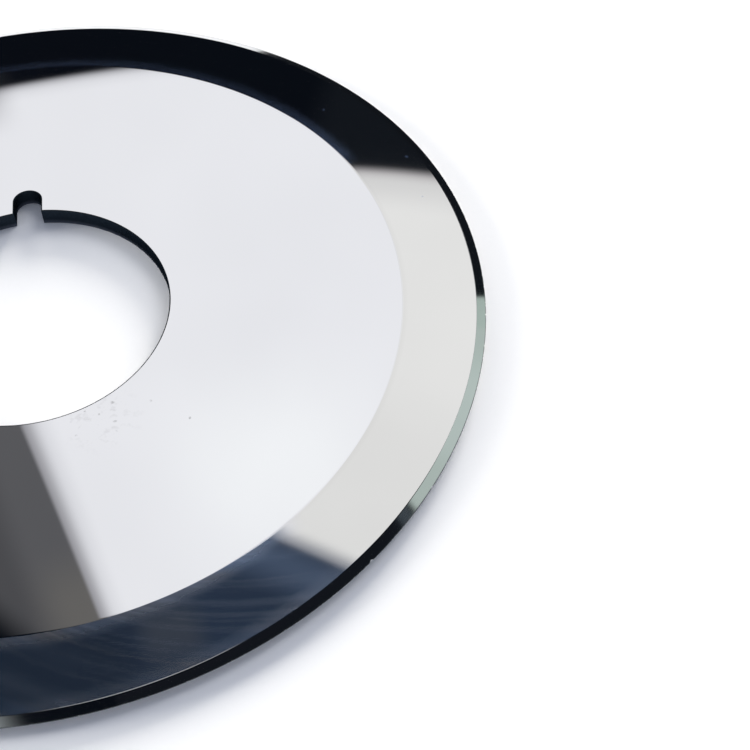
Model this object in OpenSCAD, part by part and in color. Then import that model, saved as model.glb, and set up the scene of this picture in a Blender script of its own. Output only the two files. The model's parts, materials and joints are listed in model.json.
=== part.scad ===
// Circular slitter knife: a flat lapped disc, ground to a double bevel round its rim,
// with a bore and one round-ended keyway that slip over a slitter's arbor.
// It lies on its lower face at z = 0, with the bore's axis on Z and the keyway towards +Y.

/* [Disc] */
// Diameter over the cutting edge
outer_d = 160; // [130:1:220]
// Thickness between the two lapped faces
thickness = 3.2; // [3:0.1:6]

/* [Cutting rim] */
// Radial width of the shallow relief bevel, the same on both sides
relief_w = 12.6; // [6:0.1:15]
// Slope of the relief bevel, measured from the flat face
relief_angle = 4; // [2:0.25:5]
// Slope of the narrow cutting bevel, measured from the flat face
cutting_angle = 22.5; // [15:0.5:35]
// Height of the honed land left on the cutting edge
edge_land = 0.1; // [0.02:0.02:0.2]

/* [Bore and keyway] */
// Diameter of the bore that fits the arbor
bore_d = 50; // [40:1:60]
// Width of the keyway between its flanks
keyway_w = 5; // [4:0.5:8]
// Depth of the keyway, from the bore's wall to its round bottom
keyway_depth = 5.5; // [4:0.5:8]
// Size of the edge break round the bore and the keyway, on both faces
edge_break = 0.15; // [0.05:0.05:0.4]

/* [Hidden] */
$fn = 240;

// Rim: each side falls from its face by the relief bevel, then by the cutting bevel to the land
outer_r = outer_d / 2;
land_depth = (thickness - edge_land) / 2;
relief_drop = relief_w * tan(relief_angle);
cutting_w = (land_depth - relief_drop) / tan(cutting_angle);
relief_r = outer_r - cutting_w;
face_r = relief_r - relief_w;

// Keyway: distance of the round bottom's centre from the bore's axis
keyway_end = bore_d / 2 + keyway_depth - keyway_w / 2;

// Distance that each cut runs past both faces
overrun = 1;

// Wall of a cut, from below the lower face to above the upper one, broken at 45 degrees at each face
function cut_wall(half_w) = [
    [half_w + edge_break + overrun, -overrun],
    [half_w, edge_break],
    [half_w, thickness - edge_break],
    [half_w + edge_break + overrun, thickness + overrun]
];

// The same wall on the other side, run back from top to bottom
function opposite_wall(wall) = [for (i = [len(wall) - 1 : -1 : 0]) [-wall[i].x, wall[i].y]];

// Disc with the flat faces and both bevels of each side, turned about Z
module disc_blank() {
    lower = [[0, 0], [face_r, 0], [relief_r, relief_drop], [outer_r, land_depth]];
    upper = [for (i = [len(lower) - 1 : -1 : 0]) [lower[i].x, thickness - lower[i].y]];
    rotate_extrude() polygon(concat(lower, upper));
}

// Round hole on Z, with both its edges broken
module hole_cut(d) {
    rotate_extrude() polygon(concat([[0, -overrun]], cut_wall(d / 2), [[0, thickness + overrun]]));
}

// Straight slot that runs from Z along +Y, with all its edges broken
module slot_cut(w, length) {
    wall = cut_wall(w / 2);
    rotate([90, 0, 180]) linear_extrude(length) polygon(concat(wall, opposite_wall(wall)));
}

// The knife, ground from one blank of cemented carbide
module slitter_knife() {
    color([0.80, 0.81, 0.82])
    difference() {
        disc_blank();
        hole_cut(bore_d);
        slot_cut(keyway_w, keyway_end);
        translate([0, keyway_end, 0]) hole_cut(keyway_w);
    }
}

slitter_knife();
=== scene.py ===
import json
import math

import bpy
import numpy as np
from mathutils import Matrix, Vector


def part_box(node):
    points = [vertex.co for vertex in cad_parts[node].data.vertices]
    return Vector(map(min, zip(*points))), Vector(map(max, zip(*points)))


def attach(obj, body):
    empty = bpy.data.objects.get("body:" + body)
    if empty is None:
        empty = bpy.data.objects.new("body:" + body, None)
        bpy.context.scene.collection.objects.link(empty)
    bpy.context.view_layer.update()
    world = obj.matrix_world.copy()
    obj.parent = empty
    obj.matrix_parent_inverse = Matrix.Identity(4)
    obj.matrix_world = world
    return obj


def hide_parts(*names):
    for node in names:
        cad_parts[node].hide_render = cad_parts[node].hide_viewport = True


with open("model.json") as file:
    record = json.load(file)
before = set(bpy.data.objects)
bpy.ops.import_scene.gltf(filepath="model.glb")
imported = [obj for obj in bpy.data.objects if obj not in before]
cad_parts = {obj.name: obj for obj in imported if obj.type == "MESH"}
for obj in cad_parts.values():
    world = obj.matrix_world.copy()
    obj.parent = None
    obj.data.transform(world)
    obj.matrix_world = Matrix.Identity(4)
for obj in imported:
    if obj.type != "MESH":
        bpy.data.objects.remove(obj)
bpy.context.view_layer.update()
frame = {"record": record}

# The knife itself: one disc of sintered carbide, lapped flat on both faces and ground to a double bevel
# round the rim, a wide shallow relief and then a narrow cutting bevel. Its bore and keyway are wire-cut.
# It lies on its lower face, and the keyway, which takes the arbor's key, points to +Y. Sizes are in mm.
MM = 0.001
low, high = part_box("slitter_knife")
mounts = {mount["name"]: mount for mount in frame["record"]["mounts"]}
outer_r = min(high.x, high.y, -low.x, -low.y) / MM
thickness = high.z / MM
bore_r = mounts["arbor_bore"]["dims"]["r_mm"]
relief_w = 12.6
relief_slope = math.tan(math.radians(4))
cutting_angle = math.radians(22.5)
edge_land = 0.1
keyway_w = 5.0
keyway_depth = 5.5
edge_break = 0.15

mid = thickness / 2
cutting_slope = math.tan(cutting_angle)
relief_drop = relief_w * relief_slope
cutting_w = (mid - edge_land / 2 - relief_drop) / cutting_slope
relief_r = outer_r - cutting_w
face_r = relief_r - relief_w
keyway_end = bore_r + keyway_depth - keyway_w / 2

# Half widths over which lapping and honing have rounded the two ridges of each side
face_ridge = 0.25
relief_ridge = 0.05

# Radius of the honed nose, which touches both cutting bevels and the land between them
nose_r = edge_land / 2 * math.cos(cutting_angle) / (1 - math.sin(cutting_angle))

# Damage of the edge: small chips all round, deeper over one worn stretch, and two nicks. Turns and reaches
# are in degrees, clockwise from the keyway, and the zone is how far in from the edge a chip is felt.
chip_depth = 0.1
chip_zone = 0.45
worn_depth = 0.3
worn_turn = 99
worn_reach = 6
nicks = (
    # turn, reach, depth
    (138.2, 0.20, 0.20),
    (126.2, 0.20, 0.12),
)

# Widths of the narrow strips beside the bore's rounded edge and beside the nose
edge_strip = 0.08
nose_strip = 0.08


def opening(widen, arc_steps=2080, flank_steps=6, end_steps=48):
    """Bore and keyway from above, each row moved outwards by its own widen: the bore's arc from the
    keyway's right mouth clockwise to its left mouth, the left flank, the half-round end and the right
    flank back."""
    radius = bore_r + widen
    half = keyway_w / 2 + widen
    mouth = np.arcsin(half / radius)
    along_arc = np.arange(arc_steps) / arc_steps
    along_flank = np.arange(flank_steps) / flank_steps
    along_end = np.arange(end_steps) / end_steps
    turn = mouth + (2 * np.pi - 2 * mouth) * along_arc
    mouth_y = radius * np.cos(mouth)
    flank_y = mouth_y + (keyway_end - mouth_y) * along_flank
    return_y = keyway_end + (mouth_y - keyway_end) * along_flank
    sweep = np.pi * along_end
    x = np.hstack([radius * np.sin(turn), 0 * flank_y - half, -half * np.cos(sweep), 0 * return_y + half])
    y = np.hstack([radius * np.cos(turn), flank_y, keyway_end + half * np.sin(sweep), return_y])
    return x, y


def ramp(distance, half_width):
    """A slope of 1 that starts at distance 0, rounded by a parabola over half_width on either side."""
    near = np.clip(distance + half_width, 0, 2 * half_width)
    return near ** 2 / (4 * half_width) + np.clip(distance - half_width, 0, None)


def rim_height(radius):
    """Height of the upper side above the knife's middle: the face, less the relief's ramp from the first
    ridge on, less what the steeper cutting bevel adds from the second ridge on."""
    relief = relief_slope * ramp(radius - face_r, face_ridge)
    cutting = (cutting_slope - relief_slope) * ramp(radius - relief_r, relief_ridge)
    return mid - relief - cutting


def chips(turn):
    """How far the chips and nicks cut in from the edge. The chips are the product of three waves round the
    rim whose counts share no factor, kept only where it is high, so they stand at uneven distances; the
    worn stretch and each nick follow a bell curve."""
    wave = np.sin(461 * turn + 0.4) * np.sin(277 * turn + 1.1) * np.cos(31 * turn)
    degrees = np.degrees(turn)
    depth = chip_depth + worn_depth * np.exp(-((degrees - worn_turn) / worn_reach) ** 2)
    cut = depth * np.clip(wave - 0.35, 0, None)
    for nick_turn, nick_reach, nick_depth in nicks:
        cut = cut + nick_depth * np.exp(-((degrees - nick_turn) / nick_reach) ** 2)
    return cut


# Rows of the section from the wall outwards, for the upper half: the rounded edge of the bore, then each
# ridge with a narrow row beyond its rounding on both sides, which keeps the surfaces between true, and
# the nose.
quarter = np.linspace(0, np.pi / 2, 5)
wall_widen = np.append(edge_break * (1 - np.cos(quarter)), edge_break + edge_strip)[:, None]
wall_z = np.append(mid - edge_break + edge_break * np.sin(quarter), mid)[:, None]
wall_x, wall_y = opening(wall_widen)
turn = np.unwrap(np.arctan2(wall_x[-1], wall_y[-1]))[None, :]
side_r = np.concatenate([
    face_r + face_ridge * np.array([-1.15, -1, -0.5, 0, 0.5, 1, 1.15]),
    relief_r + relief_ridge * np.array([-1.4, -1, 0, 1, 1.4]),
    outer_r - np.array([chip_zone, nose_strip]),
])
nose_turn = (math.pi / 2 - cutting_angle) * np.array([1, 2 / 3, 1 / 3])
rim_r = np.append(side_r, outer_r - nose_r + nose_r * np.cos(nose_turn))[:, None]
rim_z = np.append(rim_height(side_r), nose_r * np.sin(nose_turn))[:, None]
# A chip moves the nose inwards along the cutting bevel, which stays true up to the chip's own small wall
inwards = np.clip(1 - (outer_r - rim_r) / chip_zone, 0, 1) * chips(turn)
half_x = np.vstack([wall_x, (rim_r - inwards) * np.sin(turn)])
half_y = np.vstack([wall_y, (rim_r - inwards) * np.cos(turn)])
half_z = np.vstack([wall_z + 0 * wall_x, rim_z + inwards * cutting_slope])
points = np.stack([
    np.vstack([half_x, half_x[::-1]]),
    np.vstack([half_y, half_y[::-1]]),
    np.vstack([mid + half_z, mid - half_z[::-1]]),
], axis=-1)

rows, columns = points.shape[:2]
corner = np.arange(rows * columns).reshape(rows, columns)
beside = np.roll(corner, -1, axis=1)
quads = np.stack([corner, np.roll(corner, -1, axis=0), np.roll(beside, -1, axis=0), beside], axis=-1)
mesh = bpy.data.meshes.new("slitter_knife")
mesh.from_pydata(points.reshape(-1, 3) * MM, [], quads.reshape(-1, 4))
mesh.update()
mesh.shade_smooth()

# Finish of each strip between two rows, from the wall out: wire-cut, lapped, relief ground, cutting ground
WIRE_CUT, LAPPED, RELIEF, CUTTING = range(4)
row_r = np.append(0 * wall_widen, rim_r)
strip_r = (row_r[:-1] + row_r[1:]) / 2
half_finish = np.select([strip_r < face_r, strip_r < relief_r], [LAPPED, RELIEF], CUTTING)
half_finish[:len(quarter)] = WIRE_CUT
strip_finish = np.concatenate([half_finish, [CUTTING], half_finish[::-1], [WIRE_CUT]]).astype(np.int32)
mesh.polygons.foreach_set("material_index", np.repeat(strip_finish, columns))

knife = bpy.data.objects.new("slitter_knife_finished", mesh)
bpy.context.collection.objects.link(knife)


def linear(hex_colour, level=1.0):
    """Linear RGBA of an sRGB hex colour, its light multiplied by level."""
    srgb = np.array([int(hex_colour[i:i + 2], 16) for i in (0, 2, 4)]) / 255
    rgb = np.where(srgb <= 0.04045, srgb / 12.92, ((srgb + 0.055) / 1.055) ** 2.4)
    return (*(level * rgb), 1.0)


def add(tree, kind, inputs=None, **settings):
    """Adds one node of that kind: settings are its own fields, and inputs gives a socket, by name or
    number, a value or another node's output. Returns the node."""
    new = tree.nodes.new(kind)
    for field, value in settings.items():
        setattr(new, field, value)
    for socket, value in (inputs or {}).items():
        if isinstance(value, bpy.types.NodeSocket):
            tree.links.new(value, new.inputs[socket])
        else:
            new.inputs[socket].default_value = value
    return new


def finish(name):
    """A new material with only its output, as (material, tree, output)."""
    material = bpy.data.materials.new(name)
    material.use_nodes = True
    material.node_tree.nodes.clear()
    output = add(material.node_tree, "ShaderNodeOutputMaterial")
    return material, material.node_tree, output


# Wire-cut carbide of the bore, the keyway and their edges: spark-eroded, which leaves a fine pitted grain
# and a thin recast skin. It is almost black, and stays so at a slant, because the pits swallow the light;
# only the foot of the wall is set greyer, for the light that it picks up from the paper.
pit_gap = 0.4
pit_depth = 0.01
foot_from = 1.0
foot_full = 0.2
wire_cut, tree, output = finish("wire_cut_carbide")
place = add(tree, "ShaderNodeTexCoord").outputs["Object"]
pits = add(tree, "ShaderNodeTexNoise", {"Vector": place, "Scale": 1 / (pit_gap * MM), "Detail": 3.0})
tone = add(tree, "ShaderNodeValToRGB", {"Fac": pits.outputs["Fac"]})
tone.color_ramp.elements[0].color = linear("20272E")
tone.color_ramp.elements[1].color = linear("36404B")
height = add(tree, "ShaderNodeSeparateXYZ", {"Vector": place}).outputs["Z"]
foot = add(tree, "ShaderNodeMapRange", {
    "Value": height, "From Min": foot_from * MM, "From Max": foot_full * MM}).outputs["Result"]
colour = add(tree, "ShaderNodeMix", {
    0: foot, 6: tone.outputs["Color"], 7: linear("646A76")}, data_type="RGBA").outputs[2]
bump = add(tree, "ShaderNodeBump", {
    "Height": pits.outputs["Fac"], "Strength": 0.2, "Distance": pit_depth * MM})
shader = add(tree, "ShaderNodeBsdfPrincipled", {
    "Base Color": colour, "Metallic": 1.0, "Roughness": 0.55,
    "Specular Tint": linear("30343A"), "Normal": bump.outputs["Normal"]})
tree.links.new(shader.outputs["BSDF"], output.inputs["Surface"])

# Lapped carbide of the two faces: polished flat on a plate, so it mirrors the studio with hardly any haze.
# On the upper face a little dark dust lies in front of the bore, in small uneven specks and a faint film.
haze_gap = 7
crumb_gap = 0.35
crumb_sway = 0.5
film_gap = 1.3
dust_middle = (12.5, -26.0, thickness)
dust_reach = 8.0
specks = (
    # x, y and radius, and the share of the face's shine that the speck takes
    (27.1, -28.2, 0.20, 0.50),
    (14.5, -22.8, 0.30, 0.32),
    (12.2, -25.0, 0.22, 0.30),
    (14.8, -26.9, 0.26, 0.28),
    (9.9, -24.0, 0.20, 0.28),
    (20.9, -23.5, 0.20, 0.24),
    (15.0, -28.9, 0.20, 0.16),
    (8.3, -28.8, 0.20, 0.14),
)
lapped, tree, output = finish("lapped_carbide")
place = add(tree, "ShaderNodeTexCoord").outputs["Object"]
haze = add(tree, "ShaderNodeTexNoise", {"Vector": place, "Scale": 1 / (haze_gap * MM), "Detail": 4.0})
polish = add(tree, "ShaderNodeMapRange", {"Value": haze.outputs["Fac"], "To Min": 0.008, "To Max": 0.018})
crumbs = add(tree, "ShaderNodeTexNoise", {"Vector": place, "Scale": 1 / (crumb_gap * MM), "Detail": 1.0})
sway = add(tree, "ShaderNodeVectorMath", {
    0: crumbs.outputs["Color"], 1: (0.5, 0.5, 0.5)}, operation="SUBTRACT").outputs["Vector"]
uneven = add(tree, "ShaderNodeVectorMath", {
    0: sway, 1: (crumb_sway * MM, crumb_sway * MM, 0), 2: place}, operation="MULTIPLY_ADD").outputs["Vector"]
from_dust = add(tree, "ShaderNodeVectorMath", {
    0: place, 1: [v * MM for v in dust_middle]}, operation="DISTANCE").outputs["Value"]
near_dust = add(tree, "ShaderNodeMapRange", {
    "Value": from_dust, "From Min": dust_reach * MM, "From Max": 0.3 * dust_reach * MM}).outputs["Result"]
film = add(tree, "ShaderNodeTexNoise", {"Vector": place, "Scale": 1 / (film_gap * MM), "Detail": 3.0})
patches = add(tree, "ShaderNodeMapRange", {
    "Value": film.outputs["Fac"], "From Min": 0.54, "From Max": 0.70, "To Max": 0.12}).outputs["Result"]
soiled = add(tree, "ShaderNodeMath", {0: patches, 1: near_dust}, operation="MULTIPLY").outputs[0]
for x, y, speck_r, share in specks:
    from_speck = add(tree, "ShaderNodeVectorMath", {
        0: uneven, 1: (x * MM, y * MM, thickness * MM)}, operation="DISTANCE").outputs["Value"]
    speck = add(tree, "ShaderNodeMapRange", {
        "Value": from_speck, "From Min": 1.4 * speck_r * MM, "From Max": 0.4 * speck_r * MM,
        "To Max": share})
    soiled = add(tree, "ShaderNodeMath", {
        0: soiled, 1: speck.outputs["Result"]}, operation="MAXIMUM").outputs[0]
colour = add(tree, "ShaderNodeMix", {
    0: soiled, 6: linear("E7E8E9"), 7: linear("4A4744")}, data_type="RGBA").outputs[2]
dulled = add(tree, "ShaderNodeMath", {
    0: soiled, 1: 0.4, 2: polish.outputs["Result"]}, operation="MULTIPLY_ADD").outputs[0]
shader = add(tree, "ShaderNodeBsdfPrincipled", {
    "Base Color": colour, "Metallic": 1.0, "Roughness": dulled})
tree.links.new(shader.outputs["BSDF"], output.inputs["Surface"])

# Ground carbide of the relief bevels, polished after grinding. Away from the keyway the wheel's slanting
# marks and a strip along either ridge stay satin, a faint veil on dark reflections, tinted blue.
# By the keyway only the inner strip is left, bluer, and a few grains of dust lie on the bevel.
streak_angle = math.radians(32)
streak_gap = 1.5
mark_share = 0.12
inner_w = 3.2
inner_share = 0.38
outer_w = 3.0
outer_share = 0.20
ridge_dark_w = 0.9
# Angles from the side opposite the keyway at which the satin starts and is full, and so for the blue strip,
# which fades from its first level to its last by the third angle
satin_from = math.radians(41)
satin_full = math.radians(33)
blue_from = math.radians(114)
blue_full = math.radians(117)
blue_far = math.radians(138)
blue_first = 0.42
blue_last = 0.18
grain_share = 0.25
grains = (
    # x, y and radius
    (56.8, 43.7, 0.25),
    (70.8, 28.3, 0.25),
    (72.2, 17.1, 0.20),
)
relief, tree, output = finish("relief_ground_carbide")
place = add(tree, "ShaderNodeTexCoord").outputs["Object"]
flat = add(tree, "ShaderNodeVectorMath", {0: place, 1: (1, 1, 0)}, operation="MULTIPLY").outputs["Vector"]
radius = add(tree, "ShaderNodeVectorMath", {0: flat}, operation="LENGTH").outputs["Value"]
middle_r = (face_r + relief_r) / 2
twist = 1 / math.tan(streak_angle) / (middle_r * MM)
turned = add(tree, "ShaderNodeMath", {0: radius, 1: -twist}, operation="MULTIPLY").outputs[0]
slanted = add(tree, "ShaderNodeVectorRotate", {
    "Vector": flat, "Axis": (0, 0, 1), "Angle": turned}).outputs["Vector"]
bearing = add(tree, "ShaderNodeVectorMath", {0: slanted}, operation="NORMALIZE").outputs["Vector"]
streak_scale = middle_r * math.sin(streak_angle) / streak_gap
streaks = add(tree, "ShaderNodeTexNoise", {
    "Vector": bearing, "Scale": streak_scale, "Detail": 3.0, "Roughness": 0.55})
marks = add(tree, "ShaderNodeMapRange", {
    "Value": streaks.outputs["Fac"], "From Min": 0.46, "From Max": 0.68,
    "To Max": mark_share}).outputs["Result"]
inner_strip = add(tree, "ShaderNodeMapRange", {
    "Value": radius, "From Min": face_r * MM, "From Max": (face_r + inner_w) * MM,
    "To Min": inner_share, "To Max": 0.0}, interpolation_type="SMOOTHERSTEP").outputs["Result"]
outer_strip = add(tree, "ShaderNodeMapRange", {
    "Value": radius, "From Min": relief_r * MM, "From Max": (relief_r - outer_w) * MM,
    "To Min": outer_share, "To Max": 0.0}, interpolation_type="SMOOTHERSTEP").outputs["Result"]
across, along, _ = add(tree, "ShaderNodeSeparateXYZ", {"Vector": place}).outputs
either_side = add(tree, "ShaderNodeMath", {0: across}, operation="ABSOLUTE").outputs[0]
towards_front = add(tree, "ShaderNodeMath", {0: along, 1: -1.0}, operation="MULTIPLY").outputs[0]
from_front = add(tree, "ShaderNodeMath", {
    0: either_side, 1: towards_front}, operation="ARCTAN2").outputs[0]
front_satin = add(tree, "ShaderNodeMapRange", {
    "Value": from_front, "From Min": satin_from, "From Max": satin_full}).outputs["Result"]
blue_start = add(tree, "ShaderNodeMapRange", {
    "Value": from_front, "From Min": blue_from, "From Max": blue_full}).outputs["Result"]
blue_level = add(tree, "ShaderNodeMapRange", {
    "Value": from_front, "From Min": blue_full, "From Max": blue_far,
    "To Min": blue_first, "To Max": blue_last}).outputs["Result"]
inner_level = add(tree, "ShaderNodeMath", {
    0: blue_start, 1: blue_level, 2: front_satin}, operation="MULTIPLY_ADD").outputs[0]
inner_satin = add(tree, "ShaderNodeMath", {0: inner_strip, 1: inner_level}, operation="MULTIPLY").outputs[0]
veil = add(tree, "ShaderNodeMath", {0: marks, 1: outer_strip}).outputs[0]
satin_share = add(tree, "ShaderNodeMath", {
    0: veil, 1: front_satin, 2: inner_satin}, operation="MULTIPLY_ADD").outputs[0]
for x, y, grain_r in grains:
    grain_z = mid + float(rim_height(np.hypot(x, y)))
    from_grain = add(tree, "ShaderNodeVectorMath", {
        0: place, 1: (x * MM, y * MM, grain_z * MM)}, operation="DISTANCE").outputs["Value"]
    grain = add(tree, "ShaderNodeMapRange", {
        "Value": from_grain, "From Min": 1.3 * grain_r * MM, "From Max": 0.6 * grain_r * MM,
        "To Max": grain_share})
    satin_share = add(tree, "ShaderNodeMath", {
        0: satin_share, 1: grain.outputs["Result"]}, operation="MAXIMUM").outputs[0]
# The relief's colour is a little darker next to the face ridge
ridge_darkening = add(tree, "ShaderNodeMapRange", {
    "Value": radius, "From Min": face_r * MM, "From Max": (face_r + ridge_dark_w) * MM,
    "To Min": 0.955, "To Max": 1.0})
colour = add(tree, "ShaderNodeVectorMath", {
    0: linear("E7E7E6")[:3], "Scale": ridge_darkening.outputs["Result"]}, operation="SCALE").outputs["Vector"]
polished = add(tree, "ShaderNodeBsdfPrincipled", {
    "Base Color": colour, "Metallic": 1.0, "Roughness": 0.025})
# Bluish tint of the satin veil, in two tones that change along the marks
tint_noise = add(tree, "ShaderNodeTexNoise", {"Vector": bearing, "Scale": 0.35 * streak_scale, "Detail": 1.0})
blue_tint = add(tree, "ShaderNodeValToRGB", {"Fac": tint_noise.outputs["Fac"]})
blue_tint.color_ramp.elements[0].position = 0.35
blue_tint.color_ramp.elements[0].color = linear("B4C8E8")
blue_tint.color_ramp.elements[1].position = 0.7
blue_tint.color_ramp.elements[1].color = linear("DAD6D4")
keyway_side = add(tree, "ShaderNodeMapRange", {
    "Value": along, "From Min": -10 * MM, "From Max": 10 * MM}).outputs["Result"]
satin_tint = add(tree, "ShaderNodeMix", {
    0: keyway_side, 6: blue_tint.outputs["Color"], 7: linear("A6C2FA")}, data_type="RGBA").outputs[2]
satin = add(tree, "ShaderNodeBsdfPrincipled", {
    "Base Color": satin_tint, "Metallic": 1.0, "Roughness": 0.3})
surface = add(tree, "ShaderNodeMixShader", {
    0: satin_share, 1: polished.outputs["BSDF"], 2: satin.outputs["BSDF"]})
tree.links.new(surface.outputs["Shader"], output.inputs["Surface"])

# Ground carbide of the cutting bevels and the honed nose between them: finished round the rim with a fine
# wheel, so its marks run along the edge and draw the mirrored walls out a little. The nose is dulled by
# honing, which raises its roughness, and its colour is darkened as painted shade.
mark_gap = 0.15
dull_shade_from = 0.12
dull_shade_full = 0.04
cutting, tree, output = finish("cutting_ground_carbide")
place = add(tree, "ShaderNodeTexCoord").outputs["Object"]
flat = add(tree, "ShaderNodeVectorMath", {0: place, 1: (1, 1, 0)}, operation="MULTIPLY").outputs["Vector"]
radius = add(tree, "ShaderNodeVectorMath", {0: flat}, operation="LENGTH").outputs["Value"]
marks = add(tree, "ShaderNodeTexNoise", {
    "W": radius, "Scale": 1 / (mark_gap * MM), "Detail": 2.0}, noise_dimensions="1D")
polish = add(tree, "ShaderNodeMapRange", {"Value": marks.outputs["Fac"], "To Min": 0.02, "To Max": 0.07})
# Towards the nose the roughness rises, and the colour is darkened as painted shade
dull_and_shade = add(tree, "ShaderNodeMapRange", {
    "Value": radius, "From Min": (outer_r - dull_shade_from) * MM,
    "From Max": (outer_r - dull_shade_full) * MM}).outputs["Result"]
colour = add(tree, "ShaderNodeMix", {
    0: dull_and_shade, 6: linear("E6E7E7"), 7: linear("4A4D52")}, data_type="RGBA").outputs[2]
dulled = add(tree, "ShaderNodeMath", {
    0: dull_and_shade, 1: 0.3, 2: polish.outputs["Result"]}, operation="MULTIPLY_ADD").outputs[0]
shader = add(tree, "ShaderNodeBsdfPrincipled", {
    "Base Color": colour, "Metallic": 1.0, "Roughness": dulled})
tree.links.new(shader.outputs["BSDF"], output.inputs["Surface"])

for material in (wire_cut, lapped, relief, cutting):
    mesh.materials.append(material)
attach(knife, "root")
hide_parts("slitter_knife")

# Floor: a sheet of matt white paper, whose fine grain hardly shows. It lies just below the knife's face, so
# that the two don't share a plane, and keeps the knife's shadow. Its half width is in metres.
floor_half = 10.0
floor_drop = 0.02
fibre_gap = 0.8
corners = np.array([(-1, -1), (1, -1), (1, 1), (-1, 1)]) * floor_half
floor_mesh = bpy.data.meshes.new("floor")
floor_mesh.from_pydata([(x, y, -floor_drop * MM) for x, y in corners], [], [(0, 1, 2, 3)])
floor = bpy.data.objects.new("floor", floor_mesh)
bpy.context.collection.objects.link(floor)
paper, tree, output = finish("white_paper")
place = add(tree, "ShaderNodeTexCoord").outputs["Object"]
fibres = add(tree, "ShaderNodeTexNoise", {"Vector": place, "Scale": 1 / (fibre_gap * MM), "Detail": 2.0})
tone = add(tree, "ShaderNodeValToRGB", {"Fac": fibres.outputs["Fac"]})
tone.color_ramp.elements[0].color = linear("F5F5F5")
tone.color_ramp.elements[1].color = linear("F7F7F7")
shader = add(tree, "ShaderNodeBsdfDiffuse", {"Color": tone.outputs["Color"]})
tree.links.new(shader.outputs["BSDF"], output.inputs["Surface"])
floor_mesh.materials.append(paper)

# Studio round the knife, which only its mirror surfaces show: two softboxes behind it under a dark ceiling,
# and pale walls with windows round the rest. Turn is measured from +Y towards +X and height above the
# horizon, both in degrees.
world = bpy.data.worlds.new("studio")
bpy.context.scene.world = world
world.use_nodes = True
# The light of the world comes only by the rays that meet it, so that each kind of ray gets its own colour
world.cycles.sampling_method = "NONE"
tree = world.node_tree
tree.nodes.clear()
direction = add(tree, "ShaderNodeTexCoord").outputs["Generated"]
axes = add(tree, "ShaderNodeSeparateXYZ", {"Vector": direction})
turn_radians = add(tree, "ShaderNodeMath", {
    0: axes.outputs["X"], 1: axes.outputs["Y"]}, operation="ARCTAN2").outputs[0]
height_radians = add(tree, "ShaderNodeMath", {0: axes.outputs["Z"]}, operation="ARCSINE").outputs[0]
turn_degrees = add(tree, "ShaderNodeMath", {0: turn_radians}, operation="DEGREES").outputs[0]
height_degrees = add(tree, "ShaderNodeMath", {0: height_radians}, operation="DEGREES").outputs[0]


def paint(under, left, right, bottom, top, turn_blur, height_blur, colour, lean=0.0, rise=0.0):
    """Paints a soft-edged field over the colour that lies under it. Its sides move by lean for each degree
    of height and its bottom and top by rise for each degree of turn; all four edges are given at height and
    turn 0. Each edge is a smooth step over its blur on either side, and the field's mask is the product of
    the four."""
    across = add(tree, "ShaderNodeMath", {
        0: height_degrees, 1: -lean, 2: turn_degrees}, operation="MULTIPLY_ADD")
    upwards = add(tree, "ShaderNodeMath", {
        0: turn_degrees, 1: -rise, 2: height_degrees}, operation="MULTIPLY_ADD")
    mask = 1.0
    for way, edge, blur, before in (
        (across, left, turn_blur, 0.0), (across, right, turn_blur, 1.0),
        (upwards, bottom, height_blur, 0.0), (upwards, top, height_blur, 1.0),
    ):
        step = add(tree, "ShaderNodeMapRange", {
            "Value": way.outputs[0], "From Min": edge - blur, "From Max": edge + blur,
            "To Min": before, "To Max": 1.0 - before}, interpolation_type="SMOOTHSTEP")
        mask = add(tree, "ShaderNodeMath", {
            0: mask, 1: step.outputs["Result"]}, operation="MULTIPLY").outputs[0]
    return add(tree, "ShaderNodeMix", {0: mask, 6: under, 7: colour}, data_type="RGBA").outputs[2]


# Dark room, a little less dark at the right, and a grey flat that stands to the left of the softboxes
studio = linear("0B0F16")
studio = paint(studio, 7, 40, 25, 45, 1, 3, linear("15191F"))
studio = paint(studio, 10, 46, -5, 29, 2, 2, linear("14171C"))
studio = paint(studio, 70, 200, 50, 81, 3, 2, linear("15181E"))
studio = paint(studio, -60, -12, 40, 76.2, 2, 1.4, linear("525255"), rise=1.1)
studio = paint(studio, -17.1, -12, 40, 66.4, 1, 2.2, linear("606063"), rise=0.65)
studio = paint(studio, -16.6, -10, 54.6, 70, 1.5, 1.2, linear("6D6B69"))
# Greenish wall on the right, in three tones, with a dark rail over it
studio = paint(studio, 45.62, 80, -20, 53.8, 0.3, 0.45, linear("B9C6C1"))
studio = paint(studio, 45.62, 49.5, -20, 53.8, 0.3, 0.45, linear("B2C2BB"))
studio = paint(studio, 54, 67, -20, 53.8, 3, 0.45, linear("C3D0CC"))
studio = paint(studio, 60, 115, 54.3, 55.75, 3, 0.35, linear("41484F"))
# Grey walls round the rest, the lowest one behind the knife
studio = paint(studio, -60, 4, -20, 26, 2, 2, linear("ADB3B5"))
studio = paint(studio, 80, 110, -20, 52, 2, 1.5, linear("ADB3B5"))
studio = paint(studio, 110, 200, -20, 61, 3, 1.5, linear("ADB3B5"))
studio = paint(studio, -200, -60, -20, 70, 2, 2, linear("ADB3B5"))
# On each side of the room a bright window with a grey post at its right
for side, top in ((-180, 57), (-135, 66), (-90, 66), (-45, 46), (0, 23), (90, 48), (135, 57), (180, 57)):
    studio = paint(studio, side - 9, side + 4, 5, top, 1.5, 3, linear("F1F2F4"))
    studio = paint(studio, side + 4, side + 7, -20, top, 0.8, 1.5, linear("55575B"))
# Two windows by the greenish wall's left edge, and a light well in the ceiling
studio = paint(studio, 48, 55, 3, 23, 1.5, 2, linear("E6EBE9"))
studio = paint(studio, 30, 42.5, -3.5, 25, 1.2, 1.5, linear("DDE0E2"), rise=0.87)
studio = paint(studio, -200, 200, 81, 100, 2, 2, linear("D3D6DA"))
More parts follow.
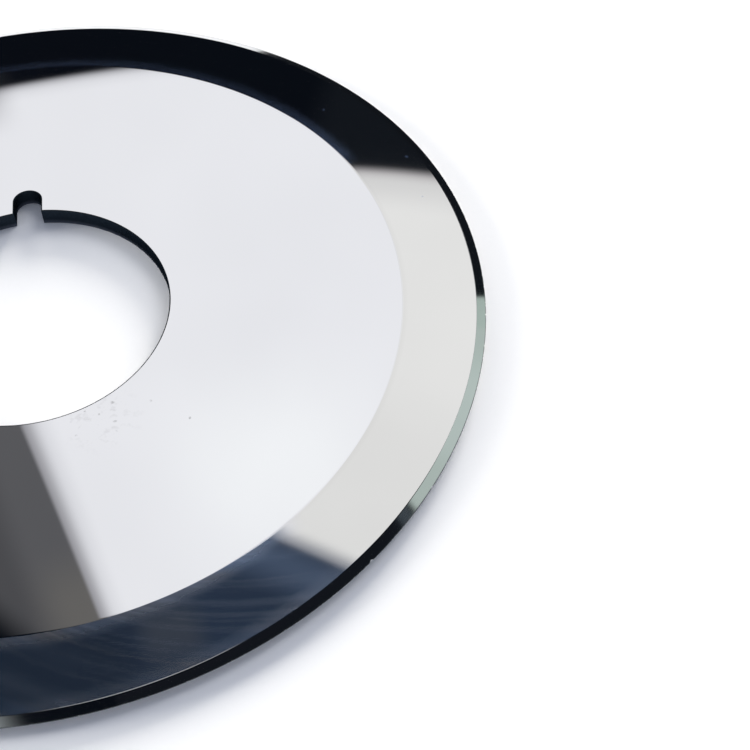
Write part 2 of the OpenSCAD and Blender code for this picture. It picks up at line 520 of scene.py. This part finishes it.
# Two softboxes, each with a dim border: the left one bluish and brightest in its middle, the right one white
studio = paint(studio, -20.08, 4.5, 39.20, 75, 0.15, 0.14, linear("9F9EA3"), lean=0.11, rise=0.037)
studio = paint(studio, -19.61, 4.5, 39.32, 75, 0.6, 0.2, linear("E6E6EB"), lean=0.11, rise=0.037)
studio = paint(studio, 3.5, 28, 37.56, 75, 0.8, 0.30, linear("CBC8CB"), rise=0.175)
studio = paint(studio, -18.98, 2, 39.45, 75, 0.8, 0.35, linear("FAFAFE", 1.03), lean=0.11, rise=0.037)
studio = paint(studio, -30, -11.35, 20, 39.3, 1.2, 1.2, linear("0B0F16"))
studio = paint(studio, 7.5, 28, 37.88, 75, 1.3, 0.3, linear("E8E8E9"), rise=0.175)
studio = paint(studio, 7.5, 28, 38.95, 75, 1.3, 1.0, linear("F9F9F9"), rise=0.175)
studio = paint(studio, 7.5, 28, 52, 75, 1.3, 3, linear("F2F2F2"), rise=0.11)
studio = paint(studio, 3.5, 28, 60.75, 75, 1.3, 0.6, linear("9B9DA5"), rise=0.11)
studio = paint(studio, -7, 3, 50.3, 55.5, 4, 2.6, linear("FCFDFF", 1.13))
# Dark ceiling over the softboxes: navy in the middle, with their glow along its edge and one greyer patch
studio = paint(studio, -40, 40, 61.25, 75, 5, 0.22, linear("212B3A"), rise=0.11)
studio = paint(studio, -11, 40, 61.25, 75, 5, 0.22, linear("2A3649"), rise=0.11)
studio = paint(studio, -7, 40, 61.25, 63, 4, 0.9, linear("48566D"), rise=0.11)
studio = paint(studio, -11, -4.5, 64.6, 66.3, 1.8, 0.8, linear("3A414D"))
# Faint clouds over all of it, so that no field is quite even
clouds = add(tree, "ShaderNodeTexNoise", {"Vector": direction, "Scale": 9.0, "Detail": 2.0})
cloud_level = add(tree, "ShaderNodeMapRange", {
    "Value": clouds.outputs["Fac"], "To Min": 0.95, "To Max": 1.05})
studio = add(tree, "ShaderNodeVectorMath", {
    0: studio, "Scale": cloud_level.outputs["Result"]}, operation="SCALE")

# Mirror rays meet the studio, diffuse rays an even cool fill, and the camera plain white
path = add(tree, "ShaderNodeLightPath")
seen = add(tree, "ShaderNodeBackground", {"Color": studio.outputs["Vector"], "Strength": 1.0})
fill = add(tree, "ShaderNodeBackground", {"Color": linear("989EAD"), "Strength": 1.0})
white = add(tree, "ShaderNodeBackground", {"Color": linear("FFFFFF"), "Strength": 1.0})
lit = add(tree, "ShaderNodeMixShader", {
    0: path.outputs["Is Diffuse Ray"], 1: seen.outputs[0], 2: fill.outputs[0]})
shown = add(tree, "ShaderNodeMixShader", {
    0: path.outputs["Is Camera Ray"], 1: lit.outputs[0], 2: white.outputs[0]})
output = add(tree, "ShaderNodeOutputWorld", {"Surface": shown.outputs[0]})

# Lamps: broad low light from behind, so that the shadow falls towards the camera, and a little from higher
# up; the cool fill comes from the world. The mirror surfaces don't show the lamps.
lamps = (
    # name, turn, height and width in degrees, strength, colour
    ("left", -75, 10, 24, 3.9, "FFFDF6"),
    ("back", -15, 12, 24, 1.4, "FFF9EC"),
    ("back_right", 25, 10, 24, 7.2, "FFFBF1"),
    ("high_back", 0, 30, 30, 0.25, "FFFBF1"),
    ("high_right", 50, 45, 30, 0.75, "FBFCFF"),
)
for name, lamp_turn, lamp_height, width, strength, colour in lamps:
    lamp_data = bpy.data.lights.new(name, "SUN")
    lamp_data.energy = strength
    lamp_data.angle = math.radians(width)
    lamp_data.color = linear(colour)[:3]
    lamp = bpy.data.objects.new(name, lamp_data)
    lamp.rotation_euler = (math.radians(90 - lamp_height), 0, math.radians(180 - lamp_turn))
    lamp.visible_glossy = False
    bpy.context.collection.objects.link(lamp)

# Camera: the photograph's own standpoint, looking down over the knife's right half. Its heading is turned
# from +Y, it looks down by its dip, and both are in degrees, as is its roll.
standpoint = np.array([46.10, -204.45, 220.41])
heading = -3.873
dip = 50.224
roll = -4.235
camera_data = bpy.data.cameras.new("camera")
camera_data.lens = 81.36
camera_data.sensor_width = 36.0
camera_data.clip_start = 0.01
camera = bpy.data.objects.new("camera", camera_data)
headed = Matrix.Rotation(math.radians(heading), 4, "Z")
pitched = Matrix.Rotation(math.radians(90 - dip), 4, "X")
rolled = Matrix.Rotation(math.radians(roll), 4, "Z")
camera.matrix_world = Matrix.Translation(standpoint * MM) @ headed @ pitched @ rolled
bpy.context.collection.objects.link(camera)
bpy.context.scene.camera = camera
bpy.context.scene.view_settings.view_transform = "Standard"
